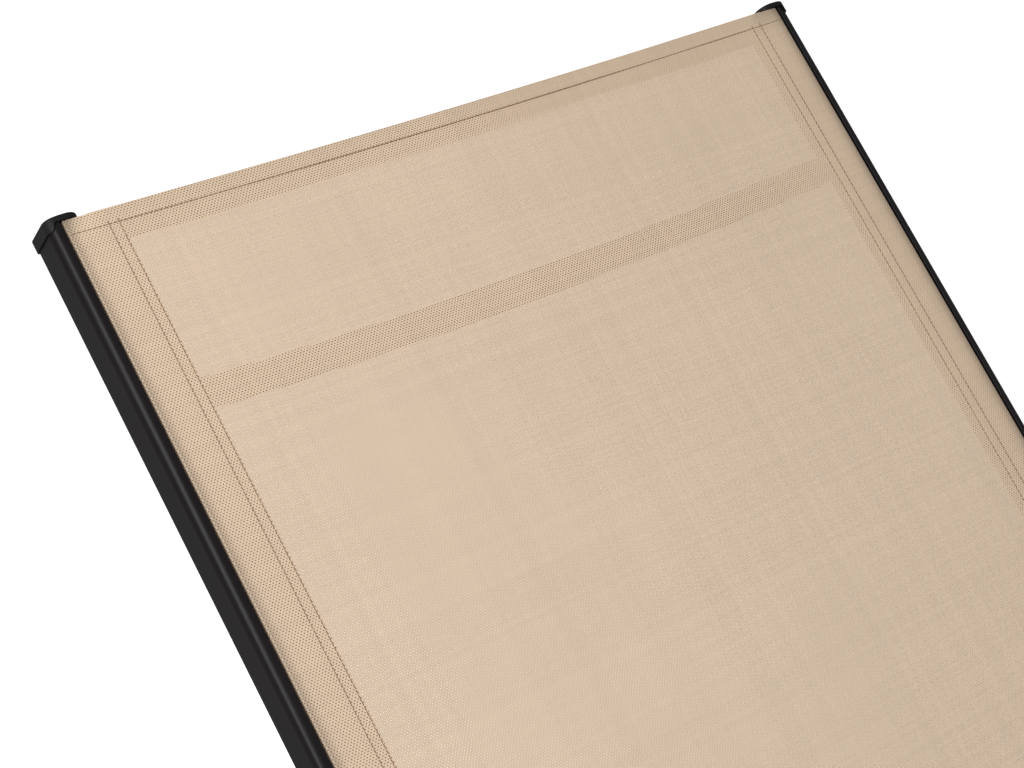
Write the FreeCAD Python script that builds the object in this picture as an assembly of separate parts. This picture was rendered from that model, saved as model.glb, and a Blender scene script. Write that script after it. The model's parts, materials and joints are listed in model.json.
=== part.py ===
import FreeCAD, Part
import math
import os

# Reclining sun lounger: black aluminium rails, beige mesh slings, a backrest on two hinge
# bolts and a propping stand whose foot bar moves along two notched racks.
# Millimetres, +X across the width, +Y towards the head, +Z up. The origin is on the floor
# under the middle of the lounger as it stands at rest. The backrest is made lying flat and
# then raised to REST_ANGLE.
V = FreeCAD.Vector
ORIGIN = V(0, 0, 0)
ALONG_X, ALONG_Y, ALONG_Z = V(1, 0, 0), V(0, 1, 0), V(0, 0, 1)

# Overall sizes
BACKREST_LENGTH = 830.0      # hinge axis to the face of a head cap
BACKREST_WIDTH = 576.0       # over the two backrest rails
SEAT_HEIGHT = 330.0          # floor to the top of the side rails
FOOT_LENGTH = 1120.0         # foot end of the frame to the hinge axis
REAR_PAST_RACKS = 4.0        # side rails and their caps go on behind the racks
REST_ANGLE = 42.0            # backrest above level at rest
TOP_ANGLE = 70.0             # the steepest notch

# Rail extrusion, the same for frame and backrest
RAIL_WIDTH = 20.0
RAIL_HEIGHT = 30.0
RAIL_WALL = 1.5
RAIL_CORNER = 4.0
RAIL_CROWN = 6.0             # the outer top corner
CROWN_FALL = 2.0             # the top slopes down to that corner
LIP_DROP = 2.0               # the inner lip is lower, so that the sling lies level
SLOT_WIDTH = 3.6
SLOT_OUTER = 2.4             # outer side of the slot, from the middle of the rail
SLOT_EDGE = 0.8
BORE_RADIUS = 4.0            # channel for the sling's rod
BORE_DEPTH = 6.8             # its centre below the top of the rail
RAIL_GAP = 7.0               # between a frame rail and a backrest rail

# End caps
CAP_FACE = 3.5
CAP_OVERHANG = 1.2
CAP_INNER_CORNER = 9.0       # the inner top corner of the face
CAP_SKIRT = 4.5              # how far the skirt comes back along the outer side
CAP_PLUG = 18.0
CAP_PLUG_GAP = 0.1
CAP_EDGE = 1.0

# Slings
SLING_THICK = 1.2
SLING_GAP = 0.3              # over the lips and short of the caps
ROD_GAP = 0.9                # room for the sleeve between rod and channel
HEM_BEFORE_HINGE = 45.0
HEM_AFTER_HINGE = 15.0

# Cross tubes
CROSS_DIAMETER = 19.0
CROSS_WALL = 1.5
CROSS_DROP = 1.0             # below the middle of the rail
CROSS_BOW = 27.0
HEAD_CROSS_INSET = 117.0     # from the sling's free edge
FOOT_CROSS_INSET = 117.0
TAIL_CROSS = 90.0            # backrest's lower cross tube, from the hinge axis
SEAT_CROSS_BEHIND = 75.0     # seat's last cross tube, before the hinge axis

# Hinge
HINGE_DROP = 3.0             # axis below the middle of the rails
TAIL_LENGTH = 30.0           # backrest rail past the hinge, over its tail cap
BOLT_DIAMETER = 8.0
BOLT_HEAD_DIAMETER = 16.0
BOLT_HEAD_HEIGHT = 4.5
SOCKET_WIDTH = 5.0           # hexagon socket across flats
SOCKET_SHARE = 0.6           # of the head's height
RUNNING_GAP = 0.05
BUSH_WALL = 1.45
BUSH_FLANGE_DIAMETER = 19.0
BUSH_FLANGE = 1.4
SIDE_PLAY = 0.1
NUT_WIDTH = 13.0
NUT_HEIGHT = 6.5

# Propping stand
PROP_PIVOT = 165.0           # from the hinge axis, along the backrest
PROP_LENGTH = 190.0          # pivot to the middle of the foot bar
PROP_LEVEL_ANGLE = 7.0       # below level while the backrest is flat
PROP_RATIO = 0.89            # turn of the stand for each turn of the backrest
PROP_DIAMETER = 16.0
PROP_WALL = 1.5
PROP_SIDE_GAP = 2.0          # arm to backrest rail
PROP_PAST_PIVOT = 10.0
ARM_PLUG_HEAD = 1.5
PIVOT_HEAD_HEIGHT = 1.8
BAR_DIAMETER = 16.0
BAR_WALL = 1.5
BAR_CAP_FACE = 3.0
BAR_CAP_GAP = 2.0            # bar cap to the back of the rack
BAR_CAP_PLUG = 15.0

# Notched racks
NOTCH_ANGLES = (0.0, 18.0, 31.0, REST_ANGLE, 52.0, 61.0, TOP_ANGLE)
RACK_PLATE = 4.0
RACK_SHELF_WIDTH = 17.0
RACK_SHELF_HEIGHT = 10.0
RACK_END = 16.0
RACK_CLEARANCE = 0.5         # foot bar over the tooth tops
NOTCH_DEPTH = 3.5
NOTCH_GAP = 1.0
RACK_TOP_BELOW_HINGE = 0.0
RACK_SCREW_DIAMETER = 5.0
RACK_SCREW_HEAD = 9.0
RACK_SCREW_LENGTH = 12.0
RACK_SCREW_BELOW_HINGE = 6.0
RACK_SCREW_INSET = 30.0

# Legs
LEG_DIAMETER = 22.0
LEG_WALL = 1.5
LEG_SPLAY = 6.0              # degrees off upright, towards the nearer end
LEG_OUTSET = 1.5             # leg axis outside the middle of the rail
FOOT_LEG_INSET = 170.0       # rail end to the top of the leg
REAR_LEG_INSET = 72.0
SHOE_LENGTH = 74.0
SHOE_PLATE = 4.0
SPIGOT_LENGTH = 40.0
SHOE_SCREW_SPACING = 54.0
SHOE_SCREW_DIAMETER = 4.0
SHOE_SCREW_HEAD = 7.6
SHOE_SCREW_LENGTH = 10.0
LEG_BOLT_DIAMETER = 5.0
LEG_BOLT_HEAD = 9.0
LEG_BOLT_HEAD_HEIGHT = 2.2
LEG_BOLT_SEAT = 0.9          # the head beds into the round tube
LEG_BOLT_SOCKET = 3.0
LEG_BOLT_BELOW = 22.0
CROSSBAR_DIAMETER = 19.0
CROSSBAR_WALL = 1.5
CROSSBAR_HEIGHT = 120.0
GLIDE_WALL = 2.5
GLIDE_HEIGHT = 26.0
GLIDE_SOLE = 6.0

# Places that follow from the sizes above
RAIL_MIDDLE = SEAT_HEIGHT - RAIL_HEIGHT / 2
HINGE_Z = RAIL_MIDDLE - HINGE_DROP
HEAD_REACH = ((BACKREST_LENGTH - CAP_EDGE) * math.cos(math.radians(REST_ANGLE))
              + (RAIL_HEIGHT / 2 + CAP_OVERHANG - HINGE_DROP - CAP_EDGE)
              * math.sin(math.radians(REST_ANGLE)) + CAP_EDGE)
HINGE_Y = (FOOT_LENGTH - HEAD_REACH) / 2
BACK_RAIL_X = BACKREST_WIDTH / 2 - RAIL_WIDTH / 2
BACK_INNER_X = BACK_RAIL_X - RAIL_WIDTH / 2
BACK_OUTER_X = BACK_RAIL_X + RAIL_WIDTH / 2
SIDE_RAIL_X = BACK_OUTER_X + RAIL_GAP + RAIL_WIDTH / 2
SIDE_INNER_X = SIDE_RAIL_X - RAIL_WIDTH / 2
SIDE_OUTER_X = SIDE_RAIL_X + RAIL_WIDTH / 2
SLOT_MIDDLE = SLOT_OUTER - SLOT_WIDTH / 2
LIP_LEVEL = RAIL_HEIGHT / 2 - LIP_DROP
BORE_LEVEL = RAIL_HEIGHT / 2 - BORE_DEPTH
CAVITY_TOP = BORE_LEVEL - BORE_RADIUS - RAIL_WALL + 0.3
SLING_LEVEL = LIP_LEVEL + SLING_GAP
BOLT_RADIUS = BOLT_DIAMETER / 2
BUSH_BORE = BOLT_RADIUS + RUNNING_GAP
BUSH_RADIUS = BUSH_BORE + BUSH_WALL
LEG_X = SIDE_RAIL_X + LEG_OUTSET
LEG_TOP = SEAT_HEIGHT - RAIL_HEIGHT - SHOE_PLATE
BAR_END_X = SIDE_INNER_X - RACK_PLATE - BAR_CAP_GAP
ARM_X = BACK_INNER_X - PROP_SIDE_GAP - PROP_DIAMETER / 2


def prop_angle(backrest_angle):
    """The stand's angle below level when the backrest is at the given angle."""
    return PROP_LEVEL_ANGLE + PROP_RATIO * backrest_angle


def bar_place(backrest_angle):
    """Y and Z of the foot bar from the hinge axis."""
    lean = math.radians(backrest_angle)
    stand = math.radians(prop_angle(backrest_angle))
    y = PROP_PIVOT * math.cos(lean) + PROP_LENGTH * math.cos(stand)
    z = PROP_PIVOT * math.sin(lean) - PROP_LENGTH * math.sin(stand)
    return y, z


bar_radius = BAR_DIAMETER / 2
notches = [bar_place(angle) for angle in NOTCH_ANGLES]
travel = [bar_place(TOP_ANGLE * step / 140) for step in range(141)]
rack_start = min(y for y, z in travel) - RACK_END
rack_end = max(y for y, z in travel) + RACK_END
FOOT_END = HINGE_Y - FOOT_LENGTH + CAP_FACE
REAR_END = HINGE_Y + rack_end + REAR_PAST_RACKS
FOOT_LEG_Y = FOOT_END + FOOT_LEG_INSET
REAR_LEG_Y = REAR_END - REAR_LEG_INSET


def mirrored(shape):
    return shape.mirror(ORIGIN, ALONG_X)


def rod(radius, start, end):
    axis = end - start
    return Part.makeCylinder(radius, axis.Length, start, axis)


def block(low, high):
    return Part.makeBox(high[0] - low[0], high[1] - low[1], high[2] - low[2], V(*low))


def rounded_face(corners, level=0.0):
    """A face square to Y, from corners given as x, z and a corner radius."""
    count = len(corners)
    ends = []
    arcs = []
    for index, (x, z, radius) in enumerate(corners):
        point = V(x, level, z)
        before = V(corners[index - 1][0], level, corners[index - 1][1])
        after = V(corners[(index + 1) % count][0], level, corners[(index + 1) % count][1])
        back = (before - point).normalize()
        ahead = (after - point).normalize()
        if radius == 0:
            ends.append((point, point))
            arcs.append(None)
            continue
        half = back.getAngle(ahead) / 2
        reach = radius / math.tan(half)
        start = point + back * reach
        end = point + ahead * reach
        inward = (back + ahead).normalize()
        middle = point + inward * (radius / math.sin(half) - radius)
        ends.append((start, end))
        arcs.append(Part.Arc(start, middle, end).toShape())
    edges = []
    for index in range(count):
        if arcs[index] is not None:
            edges.append(arcs[index])
        leave = ends[index][1]
        arrive = ends[(index + 1) % count][0]
        if (arrive - leave).Length > 1e-6:
            edges.append(Part.LineSegment(leave, arrive).toShape())
    return Part.Face(Part.Wire(Part.__sortEdges__(edges)))


def rail_outline(grow, level):
    """The rail's full outline, outer side at +X, grown by a margin all round."""
    side = RAIL_WIDTH / 2 + grow
    top = RAIL_HEIGHT / 2 + grow
    corner = RAIL_CORNER + grow
    return rounded_face(
        [(-side, -top, corner), (side, -top, corner),
         (side, top - CROWN_FALL, RAIL_CROWN + grow), (SLOT_OUTER, top, grow),
         (-side, top, CAP_INNER_CORNER)], level)


def cavity_face(shrink, level):
    side = RAIL_WIDTH / 2 - RAIL_WALL - shrink
    bottom = -RAIL_HEIGHT / 2 + RAIL_WALL + shrink
    top = CAVITY_TOP - shrink
    corner = RAIL_CORNER - RAIL_WALL
    return rounded_face(
        [(-side, bottom, corner), (side, bottom, corner), (side, top, corner),
         (-side, top, corner)], level)


def rail(start, end):
    """One extruded rail along Y, its outer side at +X, with the channel for the sling."""
    half_width = RAIL_WIDTH / 2
    half_height = RAIL_HEIGHT / 2
    outline = rounded_face(
        [(-half_width, -half_height, RAIL_CORNER), (half_width, -half_height, RAIL_CORNER),
         (half_width, half_height - CROWN_FALL, RAIL_CROWN), (SLOT_OUTER, half_height, SLOT_EDGE),
         (SLOT_OUTER, LIP_LEVEL, 0), (-half_width, LIP_LEVEL, LIP_DROP)], start)
    run = V(0, end - start, 0)
    body = outline.extrude(run)
    body = body.cut(cavity_face(0, start).extrude(run))
    body = body.cut(rod(BORE_RADIUS, V(SLOT_MIDDLE, start, BORE_LEVEL),
                        V(SLOT_MIDDLE, end, BORE_LEVEL)))
    slot = block((SLOT_OUTER - SLOT_WIDTH, start, BORE_LEVEL), (SLOT_OUTER, end, half_height))
    return body.cut(slot)


def end_cap(end, outward):
    """Plug, face and side skirt for a rail that ends at y = end, facing outward (+1 or -1)."""
    face = rail_outline(CAP_OVERHANG, end).extrude(V(0, outward * CAP_FACE, 0))
    rim = [edge for edge in face.Edges
           if all(abs(v.Point.y - end - outward * CAP_FACE) < 1e-6 for v in edge.Vertexes)]
    face = face.makeFillet(CAP_EDGE, rim)
    plug = cavity_face(CAP_PLUG_GAP, end).extrude(V(0, -outward * CAP_PLUG, 0))
    sleeve = rail_outline(CAP_OVERHANG, end).extrude(V(0, -outward * CAP_SKIRT, 0))
    sleeve = sleeve.cut(rail_outline(0, end).extrude(V(0, -outward * CAP_SKIRT, 0)))
    inner = RAIL_WIDTH / 2 - RAIL_CROWN + CAP_EDGE
    outer = RAIL_WIDTH / 2 - CAP_EDGE
    far = RAIL_WIDTH / 2 + CAP_OVERHANG + CAP_EDGE
    back = end - outward * CAP_SKIRT
    turn = (inner + outer) / 2
    sweep = Part.BezierCurve()
    sweep.setPoles([V(inner, end, 0), V(turn, end, 0), V(turn, back, 0), V(outer, back, 0)])
    skirt_edges = [
        sweep.toShape(),
        Part.LineSegment(V(outer, back, 0), V(far, back, 0)).toShape(),
        Part.LineSegment(V(far, back, 0), V(far, end, 0)).toShape(),
        Part.LineSegment(V(far, end, 0), V(inner, end, 0)).toShape(),
    ]
    skirt_plan = Part.Face(Part.Wire(skirt_edges))
    skirt_plan.translate(V(0, 0, -RAIL_HEIGHT))
    sleeve = sleeve.common(skirt_plan.extrude(V(0, 0, 2 * RAIL_HEIGHT)))
    return face.fuse([plug, sleeve]).removeSplitter()


def bowed_tube(half_span, y, level, bow):
    """A cross tube that meets both rails at the given level and hangs by bow in the middle."""
    radius = (half_span ** 2 + bow ** 2) / (2 * bow)
    centre = V(0, y, level - bow + radius)
    swing = math.degrees(math.asin(half_span / radius)) + 2.0

    def bent_rod(rod_radius):
        disc = Part.Face(Part.Wire(Part.makeCircle(rod_radius, V(0, y, level - bow), ALONG_X)))
        disc.rotate(centre, ALONG_Y, -swing)
        return disc.revolve(centre, ALONG_Y, 2 * swing)

    tube = bent_rod(CROSS_DIAMETER / 2).cut(bent_rod(CROSS_DIAMETER / 2 - CROSS_WALL))
    room = CROSS_DIAMETER
    keep = block((-half_span, y - room, level - bow - room), (half_span, y + room, level + room))
    return tube.common(keep)


def hexagon(width, height, start, outward):
    """A nut or a bolt head along X."""
    corner = width / math.sqrt(3)
    points = [V(start, corner * math.cos(math.radians(60 * k)),
                corner * math.sin(math.radians(60 * k))) for k in range(7)]
    return Part.Face(Part.makePolygon(points)).extrude(V(outward * height, 0, 0))


def dome_head(radius, height, start, outward, socket=0.0):
    """A round bolt head along X with a softened edge and a hexagon socket of a given width."""
    head = Part.makeCylinder(radius, height, V(start, 0, 0), V(outward, 0, 0))
    rim = [edge for edge in head.Edges
           if all(abs(v.Point.x - start - outward * height) < 1e-6 for v in edge.Vertexes)]
    head = head.makeFillet(height * 0.45, rim)
    if socket:
        depth = height * SOCKET_SHARE
        mouth = hexagon(socket, depth + 1, start + outward * (height - depth), outward)
        head = head.cut(mouth)
    return head


def at_hinge(shape):
    """Puts a shape whose origin is the hinge axis on the frame."""
    shape.translate(V(0, HINGE_Y, HINGE_Z))
    return shape


def at_backrest(shape):
    """Raises a flat backrest piece to the rest angle and puts it on the hinge."""
    shape.rotate(ORIGIN, ALONG_X, REST_ANGLE)
    return at_hinge(shape)


def at_prop(shape):
    """Turns a stand piece, made level from its pivot along +Y, to its rest place."""
    lean = math.radians(REST_ANGLE)
    shape.rotate(ORIGIN, ALONG_X, -prop_angle(REST_ANGLE))
    shape.translate(V(0, PROP_PIVOT * math.cos(lean), PROP_PIVOT * math.sin(lean)))
    return at_hinge(shape)


def rail_level(shape, x):
    """Moves a rail-centred shape beside the hinge axis, at the given X."""
    shape.translate(V(x, 0, HINGE_DROP))
    return shape


parts = {}


def both_sides(name, right):
    parts[name + "_right"] = right
    parts[name + "_left"] = mirrored(right)


# Frame: side rails, caps, cross tubes
def frame_level(shape):
    shape.translate(V(SIDE_RAIL_X, 0, RAIL_MIDDLE))
    return shape


side_rail = frame_level(rail(FOOT_END, REAR_END))
hinge_hole = rod(BOLT_RADIUS, V(SIDE_INNER_X - 1, HINGE_Y, HINGE_Z),
                 V(SIDE_OUTER_X + 1, HINGE_Y, HINGE_Z))
side_rail = side_rail.cut(hinge_hole)

foot_y = FOOT_END + SLING_GAP
seat_sling_end = HINGE_Y - HEM_BEFORE_HINGE
cross_level = RAIL_MIDDLE - CROSS_DROP
foot_cross_y = foot_y + FOOT_CROSS_INSET
hinge_cross_y = HINGE_Y - SEAT_CROSS_BEHIND
middle_cross_y = (foot_cross_y + hinge_cross_y) / 2
parts["seat_cross_tube_foot"] = bowed_tube(SIDE_INNER_X, foot_cross_y, cross_level, CROSS_BOW)
parts["seat_cross_tube_middle"] = bowed_tube(SIDE_INNER_X, middle_cross_y, cross_level, CROSS_BOW)
parts["seat_cross_tube_hinge"] = bowed_tube(SIDE_INNER_X, hinge_cross_y, cross_level, CROSS_BOW)
both_sides("side_rail_foot_cap", frame_level(end_cap(FOOT_END, -1)))
both_sides("side_rail_rear_cap", frame_level(end_cap(REAR_END, 1)))


# Slings and the rods in their side sleeves
def sling(middle_of_rail, start, end):
    half = middle_of_rail + SLOT_MIDDLE + SLING_THICK / 2
    return block((-half, start, SLING_LEVEL), (half, end, SLING_LEVEL + SLING_THICK))


def sling_rod(start, end):
    return rod(BORE_RADIUS - ROD_GAP, V(SLOT_MIDDLE, start, BORE_LEVEL),
               V(SLOT_MIDDLE, end, BORE_LEVEL))


seat_sling = sling(SIDE_RAIL_X, foot_y, seat_sling_end)
seat_sling.translate(V(0, 0, RAIL_MIDDLE))
parts["seat_sling"] = seat_sling
rod_start = FOOT_END + CAP_PLUG_GAP
both_sides("seat_sling_rod", frame_level(sling_rod(rod_start, seat_sling_end)))

# Racks on the inner faces of the side rails, with a shelf that the foot bar moves over
shelf_top = min(z for y, z in travel) - bar_radius - RACK_CLEARANCE
shelf_bottom = shelf_top - RACK_SHELF_HEIGHT
rack_face = SIDE_INNER_X - RACK_PLATE
back_plate = block((rack_face, rack_start, shelf_bottom),
                   (SIDE_INNER_X, rack_end, RACK_TOP_BELOW_HINGE))
shelf = block((rack_face - RACK_SHELF_WIDTH, rack_start, shelf_bottom),
              (rack_face, rack_end, shelf_top))
rack = back_plate.fuse(shelf).removeSplitter()
notch_radius = bar_radius + NOTCH_GAP
for y, z in notches:
    seat = shelf_top - NOTCH_DEPTH + notch_radius
    rack = rack.cut(rod(notch_radius, V(rack_face - RACK_SHELF_WIDTH - 1, y, seat),
                        V(rack_face, y, seat)))


def countersunk(diameter, head, length, start, direction):
    """A countersunk screw from its flush face, along direction."""
    sink = (head - diameter) / 2
    cone = Part.makeCone(head / 2, diameter / 2, sink, start, direction)
    shank = Part.makeCylinder(diameter / 2, length, start, direction)
    return cone.fuse(shank).removeSplitter()


rack_screws = []
rack_middle = (rack_start + rack_end) / 2
for y in (rack_start + RACK_SCREW_INSET, rack_middle, rack_end - RACK_SCREW_INSET):
    rack_screws.append(at_hinge(countersunk(
        RACK_SCREW_DIAMETER, RACK_SCREW_HEAD, RACK_SCREW_LENGTH,
        V(rack_face, y, -RACK_SCREW_BELOW_HINGE), ALONG_X)))
rack = at_hinge(rack)
for screw in rack_screws:
    rack = rack.cut(screw)
    side_rail = side_rail.cut(screw)
both_sides("notched_rack", rack)


# Legs: a cast shoe under the rail, a splayed tube, a crossbar and a glide
def leg_set(name, top_y, splay_sign):
    slant = V(0, splay_sign * math.tan(math.radians(LEG_SPLAY)), -1)
    top = V(LEG_X, top_y, LEG_TOP)

    def point(height):
        return top + slant * (LEG_TOP - height)

    above = LEG_TOP + LEG_DIAMETER
    below = -LEG_DIAMETER
    span = block((LEG_X - 50, top_y - 200, GLIDE_SOLE), (LEG_X + 50, top_y + 200, LEG_TOP))
    outer = rod(LEG_DIAMETER / 2, point(above), point(below))
    inner = rod(LEG_DIAMETER / 2 - LEG_WALL, point(above), point(below))
    tube = outer.cut(inner).common(span)
    shoe_plate = block((LEG_X - LEG_DIAMETER / 2, top_y - SHOE_LENGTH / 2, LEG_TOP),
                       (LEG_X + LEG_DIAMETER / 2, top_y + SHOE_LENGTH / 2,
                        LEG_TOP + SHOE_PLATE))
    upright = [edge for edge in shoe_plate.Edges
               if abs(edge.Vertexes[0].Z - edge.Vertexes[-1].Z) > SHOE_PLATE / 2]
    shoe_plate = shoe_plate.makeFillet(LEG_DIAMETER / 3, upright)
    spigot_room = block((LEG_X - 50, top_y - 200, LEG_TOP - SPIGOT_LENGTH),
                        (LEG_X + 50, top_y + 200, LEG_TOP))
    shoe = shoe_plate.fuse(inner.common(spigot_room)).removeSplitter()
    bolt_at = point(LEG_TOP - LEG_BOLT_BELOW)
    half_leg = LEG_DIAMETER / 2
    bolt = rod(LEG_BOLT_DIAMETER / 2, bolt_at - ALONG_X * half_leg, bolt_at + ALONG_X * half_leg)
    head = dome_head(LEG_BOLT_HEAD / 2, LEG_BOLT_HEAD_HEIGHT, half_leg - LEG_BOLT_SEAT, 1,
                     LEG_BOLT_SOCKET)
    head.translate(bolt_at)
    bolt = bolt.fuse(head).removeSplitter()
    tube = tube.cut(bolt)
    shoe = shoe.cut(bolt)
    screws = []
    for side in (-1, 1):
        start = V(SIDE_RAIL_X, top_y + side * SHOE_SCREW_SPACING / 2, LEG_TOP)
        screws.append(countersunk(SHOE_SCREW_DIAMETER, SHOE_SCREW_HEAD, SHOE_SCREW_LENGTH,
                                  start, ALONG_Z))
    for screw in screws:
        shoe = shoe.cut(screw)
    glide = rod(LEG_DIAMETER / 2 + GLIDE_WALL, point(above), point(below))
    glide = glide.common(block((LEG_X - 50, top_y - 200, 0), (LEG_X + 50, top_y + 200,
                                                             GLIDE_HEIGHT)))
    glide = glide.cut(outer.common(span))
    bar_at = point(CROSSBAR_HEIGHT)
    bar_out = rod(CROSSBAR_DIAMETER / 2, V(-LEG_X, bar_at.y, bar_at.z),
                  V(LEG_X, bar_at.y, bar_at.z))
    bar_in = rod(CROSSBAR_DIAMETER / 2 - CROSSBAR_WALL, V(-LEG_X, bar_at.y, bar_at.z),
                 V(LEG_X, bar_at.y, bar_at.z))
    crossbar = bar_out.cut(bar_in).cut(outer).cut(mirrored(outer))
    both_sides("leg_" + name, tube)
    both_sides("leg_shoe_" + name, shoe)
    both_sides("foot_glide_" + name, glide)
    parts["leg_crossbar_" + name] = crossbar
    return bolt, screws


leg_bolts = []
shoe_screws = []
for name, top_y, splay_sign in (("foot", FOOT_LEG_Y, -1), ("rear", REAR_LEG_Y, 1)):
    bolt, screws = leg_set(name, top_y, splay_sign)
    leg_bolts.append(bolt)
    shoe_screws += screws
for screw in shoe_screws:
    side_rail = side_rail.cut(screw)
both_sides("side_rail", side_rail)


def group(shapes):
    return Part.makeCompound(shapes + [mirrored(shape) for shape in shapes])


parts["leg_bolts"] = group(leg_bolts)
parts["leg_shoe_screws"] = group(shoe_screws)
parts["rack_screws"] = group(rack_screws)

# Hinge: a bolt through both rails, a spacer in the gap and a nut inside
spacer_face = BACK_OUTER_X + BUSH_FLANGE + SIDE_PLAY
nut_face = BACK_INNER_X - BUSH_FLANGE - SIDE_PLAY
bolt_end = nut_face - NUT_HEIGHT - 1.5
hinge_bolt = rod(BOLT_RADIUS, V(bolt_end, 0, 0), V(SIDE_OUTER_X, 0, 0))
hinge_bolt = hinge_bolt.fuse(dome_head(BOLT_HEAD_DIAMETER / 2, BOLT_HEAD_HEIGHT,
                                        SIDE_OUTER_X, 1, SOCKET_WIDTH))
hinge_bolt = at_hinge(hinge_bolt.removeSplitter())
spacer = rod(BUSH_FLANGE_DIAMETER / 2, V(spacer_face, 0, 0), V(SIDE_INNER_X, 0, 0))
spacer = spacer.cut(rod(BOLT_RADIUS, V(spacer_face, 0, 0), V(SIDE_INNER_X, 0, 0)))
nut = hexagon(NUT_WIDTH, NUT_HEIGHT, nut_face, -1)
nut = nut.cut(rod(BOLT_RADIUS, V(bolt_end, 0, 0), V(SIDE_OUTER_X, 0, 0)))
both_sides("hinge_bolt", hinge_bolt)
both_sides("hinge_spacer", at_hinge(spacer))
parts["hinge_nuts"] = group([at_hinge(nut)])


def flanged_bush(inner_x, outer_x, inner_flange, outer_flange):
    """A bush along X with a flange at each end that is given a thickness."""
    body = rod(BUSH_RADIUS, V(inner_x - inner_flange, 0, 0), V(outer_x + outer_flange, 0, 0))
    radius = BUSH_FLANGE_DIAMETER / 2
    if outer_flange:
        body = body.fuse(rod(radius, V(outer_x, 0, 0), V(outer_x + outer_flange, 0, 0)))
    if inner_flange:
        body = body.fuse(rod(radius, V(inner_x - inner_flange, 0, 0), V(inner_x, 0, 0)))
    bore = rod(BUSH_BORE, V(inner_x - inner_flange, 0, 0), V(outer_x + outer_flange, 0, 0))
    return body.cut(bore).removeSplitter()


# Backrest
HEAD_END = BACKREST_LENGTH - CAP_FACE
TAIL_END = -TAIL_LENGTH + CAP_FACE
back_rail = rail_level(rail(TAIL_END, HEAD_END), BACK_RAIL_X)
bush_hole = rod(BUSH_RADIUS, V(BACK_INNER_X - 1, 0, 0), V(BACK_OUTER_X + 1, 0, 0))
pivot_hole = rod(BOLT_RADIUS, V(BACK_INNER_X - 1, PROP_PIVOT, 0),
                 V(BACK_OUTER_X + 1, PROP_PIVOT, 0))
back_rail = back_rail.cut(bush_hole).cut(pivot_hole)
both_sides("backrest_rail", at_backrest(back_rail))
both_sides("backrest_head_cap", at_backrest(rail_level(end_cap(HEAD_END, 1), BACK_RAIL_X)))
both_sides("backrest_tail_cap", at_backrest(rail_level(end_cap(TAIL_END, -1), BACK_RAIL_X)))
hinge_bush = flanged_bush(BACK_INNER_X, BACK_OUTER_X, BUSH_FLANGE, BUSH_FLANGE)
both_sides("hinge_bush", at_backrest(hinge_bush))

sling_end = HEAD_END - SLING_GAP
back_sling = sling(BACK_RAIL_X, HEM_AFTER_HINGE, sling_end)
back_sling.translate(V(0, 0, HINGE_DROP))
parts["backrest_sling"] = at_backrest(back_sling)
back_rod = rail_level(sling_rod(HEM_AFTER_HINGE, HEAD_END - CAP_PLUG_GAP), BACK_RAIL_X)
both_sides("backrest_sling_rod", at_backrest(back_rod))
back_cross_level = HINGE_DROP - CROSS_DROP
head_cross = bowed_tube(BACK_INNER_X, sling_end - HEAD_CROSS_INSET, back_cross_level, CROSS_BOW)
tail_cross = bowed_tube(BACK_INNER_X, TAIL_CROSS, back_cross_level, CROSS_BOW)
parts["backrest_cross_tube_head"] = at_backrest(head_cross)
parts["backrest_cross_tube_hinge"] = at_backrest(tail_cross)

# Pivots of the propping stand: low-headed bolts through the backrest rails
arm_inner = ARM_X - PROP_DIAMETER / 2
arm_outer = ARM_X + PROP_DIAMETER / 2
pivot_nut_face = arm_inner - SIDE_PLAY
pivot_end = pivot_nut_face - NUT_HEIGHT - 1.5
pivot_bolt = rod(BOLT_RADIUS, V(pivot_end, 0, 0), V(BACK_OUTER_X, 0, 0))
pivot_bolt = pivot_bolt.fuse(dome_head(BOLT_HEAD_DIAMETER / 2, PIVOT_HEAD_HEIGHT,
                                        BACK_OUTER_X, 1, SOCKET_WIDTH))
pivot_bolt = pivot_bolt.removeSplitter()
pivot_nut = hexagon(NUT_WIDTH, NUT_HEIGHT, pivot_nut_face, -1)
pivot_nut = pivot_nut.cut(rod(BOLT_RADIUS, V(pivot_end, 0, 0), V(BACK_OUTER_X, 0, 0)))
for piece in (pivot_bolt, pivot_nut):
    piece.translate(V(0, PROP_PIVOT, 0))
parts["prop_pivot_bolts"] = group([at_backrest(pivot_bolt)])
parts["prop_pivot_nuts"] = group([at_backrest(pivot_nut)])

# Propping stand: two arms and a foot bar
arm_start = V(ARM_X, -PROP_PAST_PIVOT, 0)
arm_end = V(ARM_X, PROP_LENGTH, 0)
arm = rod(PROP_DIAMETER / 2, arm_start, arm_end)
arm = arm.cut(rod(PROP_DIAMETER / 2 - PROP_WALL, arm_start, arm_end))
bar_core = rod(bar_radius, V(-BAR_END_X, PROP_LENGTH, 0), V(BAR_END_X, PROP_LENGTH, 0))
arm = arm.cut(bar_core)
arm = arm.cut(rod(BUSH_RADIUS, V(arm_inner - 1, 0, 0), V(arm_outer + 1, 0, 0)))
both_sides("prop_arm", at_prop(arm))
prop_bush = flanged_bush(arm_inner, arm_outer, 0, PROP_SIDE_GAP - SIDE_PLAY)
both_sides("prop_bush", at_prop(prop_bush))
arm_plug = rod(PROP_DIAMETER / 2 - PROP_WALL, arm_start, V(ARM_X, -BUSH_RADIUS - 1, 0))
arm_plug = arm_plug.fuse(rod(PROP_DIAMETER / 2, arm_start - ALONG_Y * ARM_PLUG_HEAD, arm_start))
parts["prop_arm_plugs"] = group([at_prop(arm_plug.removeSplitter())])

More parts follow.
